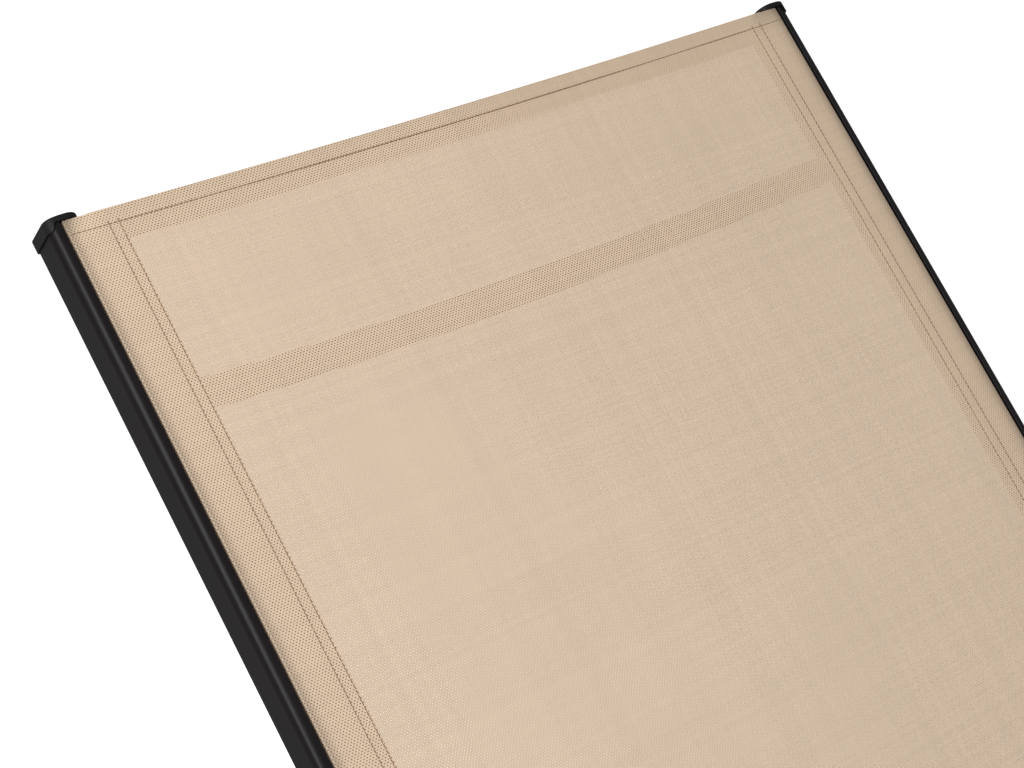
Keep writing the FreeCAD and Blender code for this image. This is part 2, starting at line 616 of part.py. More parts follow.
tube_end = BAR_END_X - BAR_CAP_FACE
foot_bar = rod(bar_radius, V(-tube_end, PROP_LENGTH, 0), V(tube_end, PROP_LENGTH, 0))
foot_bar = foot_bar.cut(rod(bar_radius - BAR_WALL, V(-tube_end, PROP_LENGTH, 0),
                            V(tube_end, PROP_LENGTH, 0)))
bar_cap = dome_head(bar_radius, BAR_CAP_FACE, tube_end, 1)
bar_cap = bar_cap.fuse(Part.makeCylinder(bar_radius - BAR_WALL, BAR_CAP_PLUG,
                                         V(tube_end - BAR_CAP_PLUG, 0, 0), ALONG_X))
bar_cap = bar_cap.removeSplitter()
bar_cap.translate(V(0, PROP_LENGTH, 0))
parts["prop_foot_bar"] = at_prop(foot_bar)
both_sides("prop_bar_cap", at_prop(bar_cap))

os.makedirs("parts", exist_ok=True)
for name, shape in parts.items():
    shape.exportStep(os.path.join("parts", name + ".step"))
print(len(parts), "parts")
print("hinge", round(HINGE_Y, 3), round(HINGE_Z, 3))
print("prop pivot", round(HINGE_Y + PROP_PIVOT * math.cos(math.radians(REST_ANGLE)), 3),
      round(HINGE_Z + PROP_PIVOT * math.sin(math.radians(REST_ANGLE)), 3))
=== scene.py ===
# %% [markdown]
# # A reclining sun lounger in mesh and black aluminium
# The frame comes from the engineering model and isn't touched: rails, tubes, caps, racks and
# bolts keep their shapes and only get finishes here. What this lesson makes is the cloth, with
# its sleeves, hems and stitches, and then the light and the camera.

# %% Load the frame
import json
import math
import bmesh
import bpy
from mathutils import Matrix, Vector


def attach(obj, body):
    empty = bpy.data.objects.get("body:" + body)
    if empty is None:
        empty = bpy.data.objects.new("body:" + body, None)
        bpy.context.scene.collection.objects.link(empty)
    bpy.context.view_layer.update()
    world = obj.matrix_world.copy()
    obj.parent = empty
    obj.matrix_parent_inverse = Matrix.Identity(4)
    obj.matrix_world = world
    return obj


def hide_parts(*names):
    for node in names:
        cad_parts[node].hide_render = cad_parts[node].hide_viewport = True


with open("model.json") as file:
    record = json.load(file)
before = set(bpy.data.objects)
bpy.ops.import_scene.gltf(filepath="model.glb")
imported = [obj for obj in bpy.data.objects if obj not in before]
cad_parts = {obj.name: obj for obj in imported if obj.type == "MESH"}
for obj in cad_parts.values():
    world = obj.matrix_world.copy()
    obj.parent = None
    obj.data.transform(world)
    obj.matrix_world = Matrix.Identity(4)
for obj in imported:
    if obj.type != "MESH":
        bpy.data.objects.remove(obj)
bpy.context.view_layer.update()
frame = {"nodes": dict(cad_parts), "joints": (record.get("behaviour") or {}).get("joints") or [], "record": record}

MM = 0.001
nodes = frame["nodes"]
print(len(nodes), "pieces from the frame")

# %% [markdown]
# ## Where the cloth goes
# Both slings lie between two rails, just over the lower inner lips. The backrest leans back, so
# its cloth is easiest to make lying flat, with the hinge axis as origin, and then to turn. The
# turn is the joint's travel down to flat, and the sizes come from the frame's own pieces.

# %% Measure the two slings
hinge = next(joint for joint in frame["joints"] if joint["name"] == "recline")
LEAN = math.radians(-hinge["range_deg"][0])
BACK_PLACE = Matrix.Translation(Vector(hinge["pos_m"])) @ Matrix.Rotation(LEAN, 4, "X")
SEAT_PLACE = Matrix.Identity(4)


def flat_box(node, place):
    """Lowest and highest corner of a node in the sling's own flat frame."""
    back = place.inverted()
    corners = [back @ vertex.co for vertex in nodes[node].data.vertices]
    low = Vector([min(c[axis] for c in corners) for axis in range(3)])
    high = Vector([max(c[axis] for c in corners) for axis in range(3)])
    return low, high


def measure(sling, rail, place):
    """What the cloth has to fit: its own solid, the rod in its sleeve and the rail beside it."""
    low, high = flat_box(sling, place)
    rail_low = flat_box(rail, place)[0]
    rod_low, rod_high = flat_box(sling + "_rod_right", place)
    return {
        "start": low.y, "end": high.y, "top": high.z,
        "rod_x": (rod_low.x + rod_high.x) / 2, "rod_z": (rod_low.z + rod_high.z) / 2,
        "rod_radius": (rod_high.x - rod_low.x) / 2, "rail_inner": rail_low.x,
    }


back_size = measure("backrest_sling", "backrest_rail_right", BACK_PLACE)
seat_size = measure("seat_sling", "side_rail_right", SEAT_PLACE)
for label, size in (("backrest", back_size), ("seat", seat_size)):
    print(label, {name: round(value / MM, 1) for name, value in size.items()})

# %% [markdown]
# ## Mesh cloth: the weave
# The cloth is polyester yarn coated in PVC and woven open, so a small gap is left between each
# pair of warp and weft yarns, and the gaps of one row sit between those of the next. Modelling
# each yarn would take millions of faces. A node pattern does it from the cloth's own
# coordinates, stored in metres in a UV map, so the weave follows the cloth round its sleeves and
# hems. The yarns round off towards each gap, and inside the gap the surface is open.

# %% Weave pattern as a node group
GAP_PITCH = 2.2 * MM        # from gap to gap across the cloth
ROW_PITCH = 1.4 * MM        # from row to row along it
GAP_HALF_WIDTH = 0.17       # shares of the two pitches
GAP_HALF_HEIGHT = 0.17
GAP_RIM = 0.75              # where the yarn starts to rise, in half gaps from the gap's middle
YARN_SHOULDER = 1.25        # how far it takes to rise to full height, in half gaps
WARP_SEED, WEFT_SEED = 0.3, 71.7
CLOTH_MAP = "Cloth"


class Nodes:
    """A short way to write node trees: each call makes a node and links its inputs."""

    def __init__(self, tree):
        self.tree = tree

    def make(self, kind, settings=None, **inputs):
        node = self.tree.nodes.new(kind)
        for name, value in (settings or {}).items():
            setattr(node, name, value)
        for name, value in inputs.items():
            self.feed(node.inputs[name.replace("_", " ")], value)
        return node

    def feed(self, socket, value):
        if isinstance(value, bpy.types.NodeSocket):
            self.tree.links.new(value, socket)
        else:
            socket.default_value = value

    def math(self, operation, *values):
        node = self.tree.nodes.new("ShaderNodeMath")
        node.operation = operation
        for socket, value in zip(node.inputs, values):
            self.feed(socket, value)
        return node.outputs[0]

    def ramp(self, value, stops):
        node = self.tree.nodes.new("ShaderNodeValToRGB")
        self.feed(node.inputs["Fac"], value)
        elements = node.color_ramp.elements
        while len(elements) < len(stops):
            elements.new(0.5)
        for element, (place, colour) in zip(elements, stops):
            element.position = place
            element.color = colour
        return node.outputs["Color"]


def weave_group():
    group = bpy.data.node_groups.new("Open mesh weave", "ShaderNodeTree")
    for name in ("Height", "Hole", "Yarn tone"):
        group.interface.new_socket(name, in_out="OUTPUT", socket_type="NodeSocketFloat")
    n = Nodes(group)
    cloth = n.make("ShaderNodeUVMap", {"uv_map": CLOTH_MAP})
    split = n.make("ShaderNodeSeparateXYZ", Vector=cloth.outputs[0])
    across = n.math("MULTIPLY", split.outputs["X"], 1 / GAP_PITCH)
    along = n.math("MULTIPLY", split.outputs["Y"], 1 / ROW_PITCH)
    stagger = n.math("MULTIPLY", n.math("FLOORED_MODULO", n.math("FLOOR", along), 2.0), 0.5)
    across = n.math("ADD", across, stagger)

    def gap_distance(place, half):
        off = n.math("SUBTRACT", n.math("FRACT", place), 0.5)
        return n.math("POWER", n.math("ABSOLUTE", n.math("DIVIDE", off, half)), 2.0)

    distance = n.math("SQRT", n.math("ADD", gap_distance(across, GAP_HALF_WIDTH),
                                     gap_distance(along, GAP_HALF_HEIGHT)))
    hole = n.math("LESS_THAN", distance, 1.0)
    rise = n.math("DIVIDE", n.math("SUBTRACT", distance, GAP_RIM), YARN_SHOULDER)
    height = n.math("SINE", n.math("MULTIPLY", n.math("MINIMUM", n.math(
        "MAXIMUM", rise, 0.0), 1.0), math.pi / 2))

    def tone(number, seed):
        noise = n.make("ShaderNodeTexWhiteNoise", {"noise_dimensions": "1D"},
                       W=n.math("ADD", n.math("FLOOR", number), seed))
        return noise.outputs["Value"]

    tones = n.math("MULTIPLY", n.math("ADD", tone(across, WARP_SEED),
                                       tone(along, WEFT_SEED)), 0.5)
    ends = n.make("NodeGroupOutput")
    group.links.new(height, ends.inputs["Height"])
    group.links.new(hole, ends.inputs["Hole"])
    group.links.new(tones, ends.inputs["Yarn tone"])
    return group


weave = weave_group()
print("gaps every", GAP_PITCH / MM, "by", ROW_PITCH / MM, "mm,", len(weave.nodes), "nodes")

# %% [markdown]
# ## Mesh cloth: colour and gloss
# PVC-coated yarn has a soft shine and one colour all through. The shade down between the yarns is
# painted in, a little darker in the valleys. A faint cloud over the whole sheet keeps it from
# looking printed. The gaps are real openings in the surface, so a tube behind the cloth shows as
# dots through it, and plain pale ground hardly shows at all. Where the cloth is turned under and
# sewn, the second layer mostly covers the gaps of the first. That part is simplified to a second
# material with the same yarns and no openings, and a deeper painted shade in its valleys stands
# in for the shaded second layer.
# Where it bends into the rail, the yarns spread and hold shadow. That shadow is painted: a mark on
# the mesh darkens the colour along that line, since the yarns themselves aren't modelled.

# %% Mesh cloth material
CLOTH_LIGHT = (0.565, 0.432, 0.306, 1)
# painted shade down in the valleys between the yarns and round each gap
CLOTH_VALLEY_SHADE = (0.27, 0.17, 0.11, 1)
HEM_LIGHT = (0.60, 0.437, 0.31, 1)
# deeper painted shade in the hem's valleys, standing in for the shaded second layer under the gaps
HEM_VALLEY_SHADE = (0.18, 0.108, 0.07, 1)
YARN_VALLEY, YARN_TOP = 0.10, 0.85      # heights where the dark and the light colour are full
TONE_CHANGE = 0.10          # from yarn to yarn, and again from place to place
CLOUD_SCALE = 9.0
WEAVE_STRENGTH = 0.55
WEAVE_DEPTH = 0.35 * MM
CLOTH_GLOSS = 0.35
CLOTH_SHEEN = 0.08
ROUGH_VALLEY = 0.62
ROUGH_FALL = 0.14           # the tops of the yarns are this much smoother
# Painted shade along the cloth's bend into the rail:
FOLD_SHADE_MASK = "Fold"          # 1 from the bend outwards, fading to 0 one column further in
FOLD_SHADE = 0.42           # share of the cloth's brightness lost at the bend
FOLD_FADE = 3.0             # higher keeps the shade nearer to the bend


def new_material(name):
    material = bpy.data.materials.new(name)
    material.use_nodes = True
    tree = material.node_tree
    shader = tree.nodes["Principled BSDF"]
    return material, Nodes(tree), shader


def add_relief(n, shader, height, strength, depth):
    bump = n.make("ShaderNodeBump", Strength=strength, Distance=depth, Height=height)
    n.feed(shader.inputs["Normal"], bump.outputs[0])


def mesh_cloth(name, light, dark, is_open):
    material, n, shader = new_material(name)
    pattern = n.make("ShaderNodeGroup", {"node_tree": weave})
    cloth = n.make("ShaderNodeUVMap", {"uv_map": CLOTH_MAP})
    cloud = n.make("ShaderNodeTexNoise", Vector=cloth.outputs[0], Scale=CLOUD_SCALE,
                   Detail=3.0)
    # Painted shade: the colour darkens down into the valleys between the yarns and round each gap.
    yarn = n.ramp(pattern.outputs["Height"], [(YARN_VALLEY, dark), (YARN_TOP, light)])
    tone = n.math("MULTIPLY", pattern.outputs["Yarn tone"], TONE_CHANGE)
    tone = n.math("ADD", tone, n.math("MULTIPLY", cloud.outputs["Fac"], TONE_CHANGE))
    tone = n.math("ADD", tone, 1 - TONE_CHANGE)
    # Painted shade: darkens the colour along the bend into the rail.
    fold = n.make("ShaderNodeAttribute", {"attribute_name": FOLD_SHADE_MASK}).outputs["Fac"]
    shade = n.math("MULTIPLY", n.math("POWER", fold, FOLD_FADE), FOLD_SHADE)
    tone = n.math("MULTIPLY", tone, n.math("SUBTRACT", 1.0, shade))
    colour = n.make("ShaderNodeVectorMath", {"operation": "SCALE"}, Vector=yarn, Scale=tone)
    n.feed(shader.inputs["Base Color"], colour.outputs[0])
    if is_open:
        n.feed(shader.inputs["Alpha"], n.math("SUBTRACT", 1.0, pattern.outputs["Hole"]))
    add_relief(n, shader, pattern.outputs["Height"], WEAVE_STRENGTH, WEAVE_DEPTH)
    rough = n.math("SUBTRACT", ROUGH_VALLEY,
                   n.math("MULTIPLY", pattern.outputs["Height"], ROUGH_FALL))
    n.feed(shader.inputs["Roughness"], rough)
    shader.inputs["Specular IOR Level"].default_value = CLOTH_GLOSS
    shader.inputs["Sheen Weight"].default_value = CLOTH_SHEEN
    return material


cloth_material = mesh_cloth("Beige mesh cloth", CLOTH_LIGHT, CLOTH_VALLEY_SHADE, True)
hem_material = mesh_cloth("Beige mesh cloth, turned under", HEM_LIGHT, HEM_VALLEY_SHADE, False)
print("made", cloth_material.name, "and", hem_material.name)

# %% [markdown]
# ## A sling: one sheet, folded and sewn
# A sling is one cut of cloth. Each side is turned under and sewn to make a sleeve. A plastic rod
# in the sleeve locks it in the rail's channel. Both ends are turned under and sewn once. The
# sheet could be a plane with a fake hem drawn on it, but then it would have no second layer and
# no roll at its edges. Here its cross-section is drawn as one line, from the turned-under edge,
# round the rod, up out of the slot and across, and that line is swept along the rails.

# %% Cross-section of a sling
CLOTH_THICK = 0.35 * MM
SLEEVE_BEND = 1.3 * MM
LAYER_GAP = 0.15 * MM
ROD_FIT = 0.05 * MM         # between the rod and the cloth round it
BACK_HEMS = (34 * MM, 31 * MM)          # turned under at the left and at the right
SEAT_HEMS = (32 * MM, 32 * MM)
HEM_POINTS = (1.0, 0.6, 0.3)            # shares of the hem's width, from its raw edge inwards
ROD_STEPS = 14
BEND_STEPS = 4
SPAN_STEPS = 40


def arc(centre, radius, start, stop, steps):
    """Points on an arc, angles in degrees, in the cross-section's X and Z."""
    points = []
    for step in range(steps + 1):
        turn = math.radians(start + (stop - start) * step / steps)
        points.append((centre[0] + radius * math.cos(turn),
                       centre[1] + radius * math.sin(turn)))
    return points


def side_section(size, hem):
    """Right half of the cross-section, from the turned-under edge to the top layer."""
    half_thick = CLOTH_THICK / 2
    top = size["top"] - half_thick
    under = top - CLOTH_THICK - LAYER_GAP
    wrap = size["rod_radius"] + half_thick + ROD_FIT
    centre = (size["rod_x"], size["rod_z"])
    neck = half_thick + LAYER_GAP / 2
    edge = centre[0] + neck + SLEEVE_BEND
    opening = math.degrees(math.asin(neck / wrap))
    inner_bend = SLEEVE_BEND - CLOTH_THICK - LAYER_GAP
    points = [(edge - hem * share, under) for share in HEM_POINTS]
    points += arc((centre[0] - neck - inner_bend, under - inner_bend), inner_bend, 90, 0,
                  BEND_STEPS)
    points += arc(centre, wrap, 90 + opening, 450 - opening, ROD_STEPS)
    points += arc((centre[0] + neck - SLEEVE_BEND, top - SLEEVE_BEND), SLEEVE_BEND, 0, 90,
                  BEND_STEPS)
    return points


section = side_section(back_size, BACK_HEMS[0])
print("one side of the section has", len(section), "points")

# %% [markdown]
# ## Sweeping the section into cloth
# The left half mirrors the right one, with its own hem width, and the span between them is
# nearly flat. Both free ends curve in a little between the rails, because the pull of the side
# sleeves doesn't reach the middle. The turned-under ends continue the same sheet: a small roll
# at the edge, then one more layer underneath, between the rails.

# %% Build the cloth
EDGE_HOLLOW = 2.6 * MM
SPAN_SAG = 1.2 * MM
ROW_LENGTH = 18 * MM
END_HEM = 21 * MM
ROLL_STEPS = 5
HEM_STEPS = 4
RAIL_CLEAR = 1.5 * MM       # between an end hem and the rail beside it
SAG_FULLNESS = 0.5          # below 1 the cloth reaches its full sag nearer to its ends


def sling_section(size, left_hem, right_hem):
    right = side_section(size, right_hem)
    left = [(-x, z) for x, z in side_section(size, left_hem)]
    inner_right = right[-1][0]
    inner_left = left[-1][0]
    level = right[-1][1]
    span = []
    for step in range(1, SPAN_STEPS):
        share = step / SPAN_STEPS
        span.append((inner_left + (inner_right - inner_left) * share, level))
    return left + span + right[::-1], len(left) - 1, len(left) + SPAN_STEPS - 1


def hollow(x, half):
    """How far a free end has drawn in at this X."""
    return EDGE_HOLLOW * max(0.0, 1 - (x / half) ** 2)


def cloth_sag(x, share, half):
    """How far the span hangs down here, with share running from one end to the other."""
    return SPAN_SAG * max(0.0, 1 - (x / half) ** 2) * math.sin(math.pi * share) ** SAG_FULLNESS


def build_sling(name, size, place, left_hem, right_hem):
    """The folded sheet of one sling. Returns its object, its flat width and length and its area."""
    line, first_top, last_top = sling_section(size, left_hem, right_hem)
    half = size["rod_x"]
    reach = [0.0]
    for before, after in zip(line, line[1:]):
        reach.append(reach[-1] + math.dist(before, after))
    middle = reach[(first_top + last_top) // 2]
    rows = max(2, round((size["end"] - size["start"]) / ROW_LENGTH))
    mesh = bmesh.new()
    cloth_map = mesh.loops.layers.uv.new(CLOTH_MAP)
    fold_shade_weight = mesh.verts.layers.float.new(FOLD_SHADE_MASK)
    place_on_cloth = {}

    def point(x, y, z, across, along):
        vertex = mesh.verts.new((x, y, z))
        place_on_cloth[vertex] = (across, along)
        return vertex

    grid = []
    for row in range(rows + 1):
        share = row / rows
        line_of_points = []
        for (x, z), across in zip(line, reach):
            start = size["start"] + hollow(x, half)
            end = size["end"] - hollow(x, half)
            y = start + (end - start) * share
            z -= cloth_sag(x, share, half)
            vertex = point(x, y, z, across - middle, y - size["start"])
            # marks the bend, where the painted shade goes
            vertex[fold_shade_weight] = float(abs(x) > half - SLEEVE_BEND)
            line_of_points.append(vertex)
        grid.append(line_of_points)
    strips = [(lower, upper, False) for lower, upper in zip(grid, grid[1:])]
    turned = (len(side_section(size, left_hem)) - BEND_STEPS - 1,
              len(line) - len(side_section(size, right_hem)) + BEND_STEPS)
    inside = size["rail_inner"] - RAIL_CLEAR
    hemmed = [i for i in range(first_top, last_top + 1) if abs(line[i][0]) < inside]
    roll = CLOTH_THICK + LAYER_GAP / 2
    for edge, outward in ((grid[0], -1), (grid[-1], 1)):
        before = [edge[i] for i in hemmed]
        offsets = [(roll * math.sin(math.radians(turn)), roll * (math.cos(math.radians(turn)) - 1))
                   for turn in (180 * step / ROLL_STEPS for step in range(1, ROLL_STEPS + 1))]
        offsets += [(-END_HEM * part / HEM_STEPS, -2 * roll) for part in range(1, HEM_STEPS + 1)]
        walked = 0.0
        last = (0.0, 0.0)
        for ahead, down in offsets:
            walked += math.dist(last, (ahead, down))
            last = (ahead, down)
            after = []
            for vertex in [edge[i] for i in hemmed]:
                across, along = place_on_cloth[vertex]
                after.append(point(vertex.co.x, vertex.co.y + outward * ahead,
                                   vertex.co.z + down, across, along + outward * walked))
            strips.append((before, after, True) if outward > 0 else (after, before, True))
            before = after
    for lower, upper, in_hem in strips:
        for column in range(len(lower) - 1):
            face = mesh.faces.new((lower[column], lower[column + 1],
                                   upper[column + 1], upper[column]))
            face.smooth = True
            outside = not turned[0] <= column < turned[1]
            face.material_index = int(in_hem or outside)
            for loop in face.loops:
                loop[cloth_map].uv = place_on_cloth[loop.vert]
    data = bpy.data.meshes.new(name)
    mesh.transform(place)
    mesh.to_mesh(data)
    mesh.free()
    data.materials.append(cloth_material)
    data.materials.append(hem_material)
    cloth = bpy.data.objects.new(name, data)
    bpy.context.scene.collection.objects.link(cloth)
    thick = cloth.modifiers.new("Cloth thickness", "SOLIDIFY")
    thick.thickness = CLOTH_THICK
    thick.offset = 0
    area = sum(polygon.area for polygon in data.polygons)
    flat = (reach[-1], size["end"] - size["start"] + 2 * (END_HEM + math.pi * roll))
    print(name, "flat", [round(side / MM) for side in flat], "mm, area", round(area, 3), "m2")
    return cloth, flat, area


back_cloth, back_flat, back_area = build_sling("backrest_cloth", back_size, BACK_PLACE,
                                               *BACK_HEMS)
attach(back_cloth, "backrest")
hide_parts("backrest_sling")
seat_cloth, seat_flat, seat_area = build_sling("seat_cloth", seat_size, SEAT_PLACE, *SEAT_HEMS)
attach(seat_cloth, "frame")
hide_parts("seat_sling")

# %% [markdown]
# ## Stitches
# Two rows of lock stitches close each side sleeve and one row closes each end hem. A dashed
# texture would look flat, so every stitch is a short bent thread that dips into the cloth at
# both ends. They are all built into one mesh for each sling.

# %% Thread and its stitches
STITCH_PITCH = 3.3 * MM
STITCH_GAP = 0.5 * MM
THREAD_RADIUS = 0.34 * MM
THREAD_RISE = 0.22 * MM
THREAD_SINK = 0.6           # share of the radius that lies in the cloth
THREAD_SIDES = 5
THREAD_RINGS = 5
THREAD_DARK = (0.15, 0.08, 0.045, 1)
THREAD_LIGHT = (0.27, 0.155, 0.09, 1)
FIBRE_SCALE = 900.0
TWIST_SCALE = 700.0
TWIST_STRENGTH = 0.4
TWIST_DEPTH = 0.1 * MM
THREAD_ROUGH = 0.7
BACK_SEAMS = ((26 * MM, 32.5 * MM), (22 * MM, 29.5 * MM))   # left pair, right pair
SEAT_SEAMS = ((24 * MM, 30.5 * MM), (24 * MM, 30.5 * MM))
END_SEAM = 9.5 * MM
SEAM_START = 0.75           # side seams stop this share of END_SEAM from the free edge
END_SEAM_SHORT = 2 * MM     # the end seam stops this far from each side edge


def thread_material():
    material, n, shader = new_material("Brown sewing thread")
    place = n.make("ShaderNodeTexCoord")
    fibre = n.make("ShaderNodeTexNoise", Vector=place.outputs["Object"], Scale=FIBRE_SCALE)
    colour = n.ramp(fibre.outputs["Fac"], [(0.35, THREAD_DARK), (0.65, THREAD_LIGHT)])
    twist = n.make("ShaderNodeTexWave", Vector=place.outputs["Object"], Scale=TWIST_SCALE)
    n.feed(shader.inputs["Base Color"], colour)
    add_relief(n, shader, twist.outputs["Fac"], TWIST_STRENGTH, TWIST_DEPTH)
    shader.inputs["Roughness"].default_value = THREAD_ROUGH
    return material


def add_stitch(mesh, start, end, up):
    """One bent thread from hole to hole, above the cloth."""
    run = end - start
    side = run.cross(up).normalized()
    rings = []
    for ring in range(THREAD_RINGS):
        share = ring / (THREAD_RINGS - 1)
        rise = THREAD_RISE * math.sin(math.pi * share) - THREAD_RADIUS * THREAD_SINK
        middle = start + run * share + up * rise
        loop = []
        for corner in range(THREAD_SIDES):
            turn = 2 * math.pi * corner / THREAD_SIDES
            offset = side * math.cos(turn) + up * math.sin(turn)
            loop.append(mesh.verts.new(middle + offset * THREAD_RADIUS))
        rings.append(loop)
    for lower, upper in zip(rings, rings[1:]):
        for corner in range(THREAD_SIDES):
            after = (corner + 1) % THREAD_SIDES
            mesh.faces.new((lower[corner], lower[after], upper[after], upper[corner]))
    mesh.faces.new(rings[0][::-1])
    mesh.faces.new(rings[-1])


def sew(name, size, place, lines, body):
    """Stitches along lines, each a function from 0..1 to a point and a direction up."""
    mesh = bmesh.new()
    count = 0
    for line, length in lines:
        total = int(length / STITCH_PITCH)
        gap = STITCH_GAP / length
        for stitch in range(total):
            start, up = line(stitch / total + gap / 2)
            end, up = line((stitch + 1) / total - gap / 2)
            add_stitch(mesh, start, end, up)
            count += 1
    bmesh.ops.recalc_face_normals(mesh, faces=mesh.faces)
    mesh.transform(place)
    data = bpy.data.meshes.new(name)
    mesh.to_mesh(data)
    mesh.free()
    for polygon in data.polygons:
        polygon.use_smooth = True
    data.materials.append(thread)
    stitches = bpy.data.objects.new(name, data)
    bpy.context.scene.collection.objects.link(stitches)
    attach(stitches, body)
    print(name, count, "stitches")


def seam_lines(size, insets, end_inset):
    """Side seams at insets (left ones, right ones) from the cloth's visible edges."""
    half = size["rod_x"]
    edge = half + SLEEVE_BEND
    lines = []
    for side, places in zip((-1, 1), insets):
        for inset in places:
            x = side * (edge - inset)

            def side_seam(share, x=x):
                start = size["start"] + hollow(x, half) + end_inset * SEAM_START
                end = size["end"] - hollow(x, half) - end_inset * SEAM_START
                y = start + (end - start) * share
                z = size["top"] - cloth_sag(x, share, half)
                return Vector((x, y, z)), Vector((0, 0, 1))

            length = size["end"] - size["start"] - 2 * SEAM_START * end_inset
            lines.append((side_seam, length))
    for outward in (-1, 1):
        def end_seam(share, outward=outward):
            x = (2 * share - 1) * (edge - END_SEAM_SHORT)
            edge_y = size["end"] if outward > 0 else size["start"]
            y = edge_y - outward * (hollow(x, half) + end_inset)
            return Vector((x, y, size["top"])), Vector((0, 0, 1))

        lines.append((end_seam, 2 * edge - 2 * END_SEAM_SHORT))
    return lines


thread = thread_material()
sew("backrest_stitches", back_size, BACK_PLACE,
    seam_lines(back_size, BACK_SEAMS, END_SEAM), "backrest")
sew("seat_stitches", seat_size, SEAT_PLACE,
    seam_lines(seat_size, SEAT_SEAMS, END_SEAM), "frame")

# %% [markdown]
# ## Powder-coated aluminium
# Rails, tubes, legs and shoes are aluminium with a satin black powder coat. Powder melts into a
# skin with a very fine orange-peel texture and a soft, broad highlight. The skin could be
# modelled as a displaced surface, but its bumps are far finer than any mesh here, so a bump map
# from fine noise does it, and a broad noise varies the colour and gloss a little from place to
# place.

# %% Powder coat
COAT_GLOSS = 0.085          # set lower than a real coat's, so that the rails read as black
COAT_CHANGE = 0.15          # colour, up and down from place to place
COAT_ROUGH_CHANGE = 0.06
PATCH_SCALE = 14.0
PEEL_SCALE = 900.0
PEEL_STRENGTH = 0.12
PEEL_DEPTH = 0.05 * MM
RAIL_BLACK = (0.0068, 0.0056, 0.0062)
CASTING_BLACK = (0.009, 0.008, 0.009)


def mottle(n, value, colour, change):
    """One colour, a share darker in some places and as much lighter in others."""
    darker = tuple((1 - change) * c for c in colour) + (1,)
    lighter = tuple((1 + change) * c for c in colour) + (1,)
    return n.ramp(value, [(0.3, darker), (0.7, lighter)])


def powder_coat(name, colour, roughness):
    material, n, shader = new_material(name)
    place = n.make("ShaderNodeTexCoord").outputs["Object"]
    peel = n.make("ShaderNodeTexNoise", Vector=place, Scale=PEEL_SCALE, Detail=2.0)
    patches = n.make("ShaderNodeTexNoise", Vector=place, Scale=PATCH_SCALE, Detail=4.0)
    n.feed(shader.inputs["Base Color"], mottle(n, patches.outputs["Fac"], colour, COAT_CHANGE))
    change = n.math("MULTIPLY", patches.outputs["Fac"], COAT_ROUGH_CHANGE)
    n.feed(shader.inputs["Roughness"], n.math("ADD", roughness, change))
    add_relief(n, shader, peel.outputs["Fac"], PEEL_STRENGTH, PEEL_DEPTH)
    shader.inputs["Specular IOR Level"].default_value = COAT_GLOSS
    return material


rail_finish = powder_coat("Satin black powder coat", RAIL_BLACK, 0.33)
cast_finish = powder_coat("Black coat on a casting", CASTING_BLACK, 0.42)
print("powder coats:", rail_finish.name, "and", cast_finish.name)

# %% [markdown]
# ## Moulded plastic, nylon and steel
# Caps, glides and racks are moulded with a spark-eroded grain, which scatters light without a
# clear highlight. Bushes and spacers are natural nylon, slightly waxy. Bolts and screws are
# stainless steel, turned, so their gloss is drawn out a little and finely scratched.

# %% Plastics and steel
BLACK_GLOSS = 0.10
PALE_GLOSS = 0.5
PLASTIC_CHANGE = 0.12
PLASTIC_ROUGH_CHANGE = 0.08
FLOW_SCALE = 30.0
GRAIN_STRENGTH = 0.25
GRAIN_DEPTH = 0.06 * MM
STEEL_DARK = (0.42, 0.42, 0.43, 1)
STEEL_LIGHT = (0.60, 0.60, 0.61, 1)
STEEL_ROUGH = 0.24
STEEL_ROUGH_CHANGE = 0.16
SCRATCH_SCALE = (3000.0, 260.0, 260.0)
SCRATCH_STRENGTH = 0.15
SCRATCH_DEPTH = 0.02 * MM


def moulded_plastic(name, colour, roughness, grain, gloss):
    """Grain is the size of one dimple of the mould's skin, in metres."""
    material, n, shader = new_material(name)
    place = n.make("ShaderNodeTexCoord").outputs["Object"]
    cells = n.make("ShaderNodeTexVoronoi", Vector=place, Scale=1 / grain)
    flow = n.make("ShaderNodeTexNoise", Vector=place, Scale=FLOW_SCALE, Detail=3.0)
    n.feed(shader.inputs["Base Color"], mottle(n, flow.outputs["Fac"], colour, PLASTIC_CHANGE))
    change = n.math("MULTIPLY", flow.outputs["Fac"], PLASTIC_ROUGH_CHANGE)
    n.feed(shader.inputs["Roughness"], n.math("ADD", roughness, change))
    add_relief(n, shader, cells.outputs["Distance"], GRAIN_STRENGTH, GRAIN_DEPTH)
    shader.inputs["Specular IOR Level"].default_value = gloss
    return material


def turned_steel(name):
    material, n, shader = new_material(name)
    place = n.make("ShaderNodeTexCoord").outputs["Object"]
    stretch = n.make("ShaderNodeMapping", Vector=place, Scale=SCRATCH_SCALE)
    lines = n.make("ShaderNodeTexNoise", Vector=stretch.outputs[0], Scale=1.0, Detail=2.0)
    colour = n.ramp(lines.outputs["Fac"], [(0.3, STEEL_DARK), (0.7, STEEL_LIGHT)])
    n.feed(shader.inputs["Base Color"], colour)
    change = n.math("MULTIPLY", lines.outputs["Fac"], STEEL_ROUGH_CHANGE)
    n.feed(shader.inputs["Roughness"], n.math("ADD", STEEL_ROUGH, change))
    add_relief(n, shader, lines.outputs["Fac"], SCRATCH_STRENGTH, SCRATCH_DEPTH)
    shader.inputs["Metallic"].default_value = 1.0
    return material


